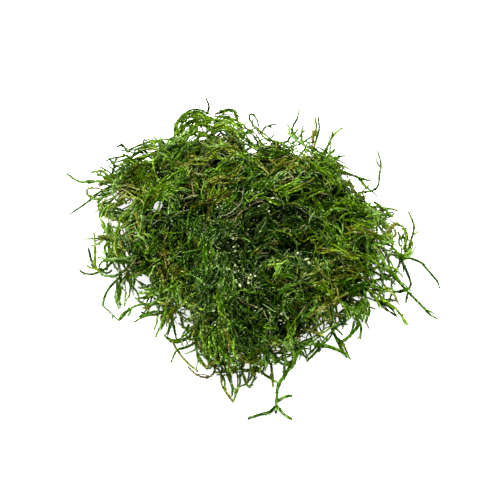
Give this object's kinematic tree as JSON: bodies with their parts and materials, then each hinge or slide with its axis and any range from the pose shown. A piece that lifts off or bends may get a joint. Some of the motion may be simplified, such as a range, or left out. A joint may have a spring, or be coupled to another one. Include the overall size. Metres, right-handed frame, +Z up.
{
  "type": "flame moss on mesh",
  "caption": "Springy heap of tangled flame moss grown over a square of welded steel mesh, with a ragged fringe of single shoots, for an aquarium floor or wall.",
  "frame": {"origin": "on the table, below the middle of the object's box", "axes": "+Z up, +X to the right along the heap's longer side, -Y towards the viewer at the front"},
  "size_m": [0.1065, 0.1015, 0.0269],
  "materials": {
    "moss": "wet, leafy, spring green at the tips and dark green to brown inside",
    "steel_mesh": "drawn and welded wire, a little dulled by water"
  },
  "bodies": {
    "root": {"moss": "moss", "mesh": "steel_mesh"}
  },
  "joints": []
}
